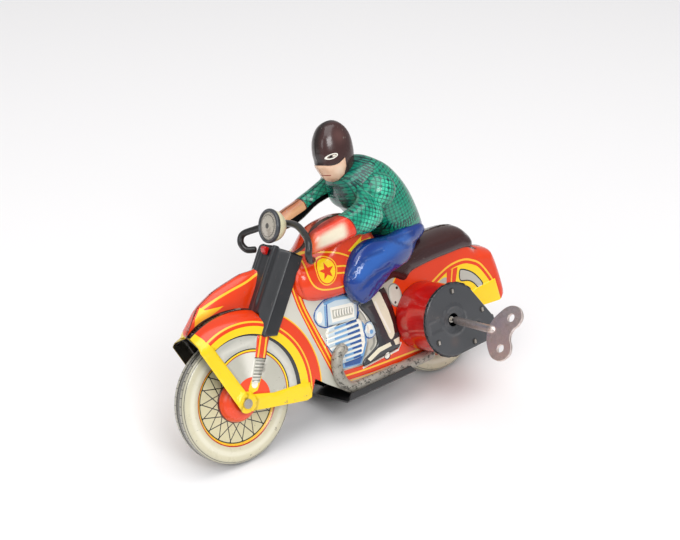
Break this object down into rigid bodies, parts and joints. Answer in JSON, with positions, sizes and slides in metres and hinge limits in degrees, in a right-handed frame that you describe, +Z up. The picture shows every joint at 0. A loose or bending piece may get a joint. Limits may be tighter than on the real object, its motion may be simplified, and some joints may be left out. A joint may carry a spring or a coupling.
{
  "type": "clockwork toy motorcycle with rider",
  "caption": "Tin clockwork motorcycle with a masked rider, side stand, geared wind-up motor and winding key, leaning on its stand",
  "frame": {"origin": "centre of the bounding box's base, on the floor the toy stands on", "axes": "+X towards the front wheel, +Y towards the motor and key side, +Z up; the motorcycle leans towards -Y"},
  "size_m": [0.182, 0.1166, 0.1229],
  "materials": {
    "litho_orange": "gloss lithographed tin, orange with yellow bands, worn",
    "wheel_litho": "gloss lithographed tin, cream tyre with printed spokes and a red hub",
    "rider_litho": "gloss lithographed tin, teal knitted sweater print and a dark brown helmet",
    "trouser_litho": "gloss blue lithographed tin",
    "drum_red": "gloss dark red lacquer",
    "gunmetal": "satin dark grey lacquer, worn",
    "black_enamel": "gloss black",
    "lamp_cream": "gloss cream",
    "lens_print": "grey printed tin disc",
    "exhaust_silver": "worn silver",
    "key_steel": "tarnished plated steel",
    "steel": "bare steel, light tarnish",
    "spring_steel": "blued spring steel",
    "gear_brass": "stamped brass"
  },
  "bodies": {
    "toy_body": {"body_left_half": "litho_orange", "body_right_half": "litho_orange", "exhaust_left": "exhaust_silver", "exhaust_right": "exhaust_silver", "fork_shield": "gunmetal", "headlamp_bowl": "lamp_cream", "headlamp_rim": "gunmetal", "headlamp_lens": "lens_print", "headlamp_bracket": "drum_red", "handlebar": "black_enamel", "front_axle": "steel", "motor_housing": "drum_red", "motor_middle_plate": "steel", "motor_cover_plate": "gunmetal", "motor_pillar_1": "steel", "motor_pillar_2": "steel", "motor_pillar_3": "steel", "motor_pillar_4": "steel", "mainspring": "spring_steel", "stand_plate": "black_enamel", "rider_left_half": "rider_litho", "rider_right_half": "rider_litho", "rider_left_arm": "rider_litho", "rider_right_arm": "rider_litho", "rider_left_leg": "trouser_litho", "rider_right_leg": "trouser_litho"},
    "front_wheel": {"front_wheel_left": "wheel_litho", "front_wheel_right": "wheel_litho"},
    "rear_wheel": {"rear_wheel_left": "wheel_litho", "rear_wheel_right": "wheel_litho", "rear_axle": "steel"},
    "second_wheel_and_pinion": {"second_arbor": "steel", "second_wheel": "gear_brass"},
    "great_wheel_and_pin": {"great_wheel": "gear_brass", "click_pin": "steel", "click_spring": "spring_steel"},
    "winder": {"winding_arbor": "steel", "ratchet_wheel": "steel", "winding_key": "key_steel"},
    "click_pawl": {"click": "steel"}
  },
  "joints": [
    {"name": "front_wheel_spin", "type": "hinge", "parent": "toy_body", "child": "front_wheel", "pos_m": [0.06405, -0.01075, 0.02655], "axis": [0, 0.9478, 0.319], "continuous": true},
    {"name": "rear_wheel_spin", "type": "hinge", "parent": "toy_body", "child": "rear_wheel", "pos_m": [-0.04895, -0.01075, 0.02655], "axis": [0, 0.9478, 0.319], "continuous": true},
    {"name": "second_wheel_spin", "type": "hinge", "parent": "toy_body", "child": "second_wheel_and_pinion", "pos_m": [-0.0467, 0.00074, 0.03628], "axis": [0, 0.9478, 0.319], "continuous": true},
    {"name": "great_wheel_spin", "type": "hinge", "parent": "toy_body", "child": "great_wheel_and_pin", "pos_m": [-0.03575, 0.00677, 0.03719], "axis": [0, 0.9478, 0.319], "continuous": true},
    {"name": "key_wind", "type": "hinge", "parent": "toy_body", "child": "winder", "pos_m": [-0.03575, 0.00677, 0.03719], "axis": [0, 0.9478, 0.319], "continuous": true, "deforming": ["mainspring"]},
    {"name": "click_lift", "type": "hinge", "parent": "great_wheel_and_pin", "child": "click_pawl", "pos_m": [-0.03035, 0.00249, 0.0405], "axis": [0, 0.9478, 0.319], "range_deg": [0, 12], "stiffness_Nm_per_rad": 0.0001, "springref_deg": -5.73, "deforming": ["click_spring"]}
  ],
  "couplings": [
    {"joint": "second_wheel_spin", "follows": "rear_wheel_spin", "ratio": -0.5},
    {"joint": "great_wheel_spin", "follows": "rear_wheel_spin", "ratio": 0.11111}
  ]
}
